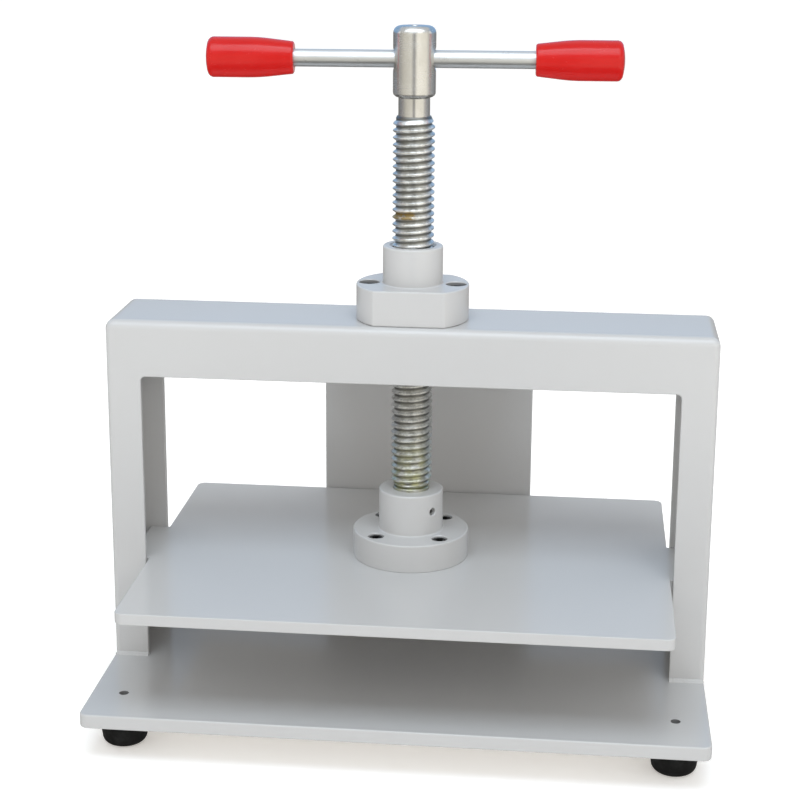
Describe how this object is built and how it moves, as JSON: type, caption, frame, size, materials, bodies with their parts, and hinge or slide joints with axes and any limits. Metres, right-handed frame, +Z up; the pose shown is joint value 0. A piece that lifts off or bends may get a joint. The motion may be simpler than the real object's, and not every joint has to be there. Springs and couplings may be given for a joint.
{
  "type": "bookbinding press",
  "caption": "Bench-top book press: a screw with a sliding bar handle drives a flat platen down onto a base plate.",
  "frame": {"origin": "on the floor, under the middle of the base plate", "axes": "+Z up along the lead screw, +X to the right of the operator, who is at -Y"},
  "size_m": [0.424, 0.28, 0.4876],
  "materials": {
    "enamel": "gloss light grey enamel",
    "screw_steel": "turned, lightly oiled",
    "bar_steel": "bright plated",
    "zinc_steel": "zinc plated",
    "black_steel": "black oxide",
    "bronze": "machined",
    "rubber": "matt black",
    "red_plastic": "gloss red"
  },
  "bodies": {
    "frame": {"base_plate": "enamel", "foot_front_left": "rubber", "foot_front_right": "rubber", "foot_rear_left": "rubber", "foot_rear_right": "rubber", "foot_screws": "zinc_steel", "foot_washers": "zinc_steel", "left_post": "enamel", "right_post": "enamel", "top_beam": "enamel", "beam_bottom_plate": "enamel", "beam_core_block": "black_steel", "rear_brace": "enamel", "post_welds": "enamel", "main_nut": "enamel", "main_nut_bolts": "black_steel"},
    "platen": {"platen": "enamel", "screw_socket": "enamel", "socket_bolts": "black_steel", "retaining_screw": "zinc_steel", "thrust_washer": "bronze"},
    "screw": {"lead_screw": "screw_steel"},
    "handle": {"handle_bar": "bar_steel", "grip_left": "red_plastic", "grip_right": "red_plastic", "grip_insert_left": "zinc_steel", "grip_insert_right": "zinc_steel"}
  },
  "joints": [
    {"name": "platen_travel", "type": "slide", "parent": "frame", "child": "platen", "axis": [0, 0, 1], "range_m": [-0.066, 0.085]},
    {"name": "screw_turn", "type": "hinge", "parent": "platen", "child": "screw", "pos_m": [0, -0.003, 0.3], "axis": [0, 0, 1], "range_deg": [-4752, 6120]},
    {"name": "bar_slide", "type": "slide", "parent": "screw", "child": "handle", "axis": [0.9986, 0.0523, 0], "range_m": [-0.065, 0.065]}
  ],
  "couplings": [
    {"joint": "platen_travel", "follows": "screw_turn", "m_per_rad": 0.00079577}
  ]
}
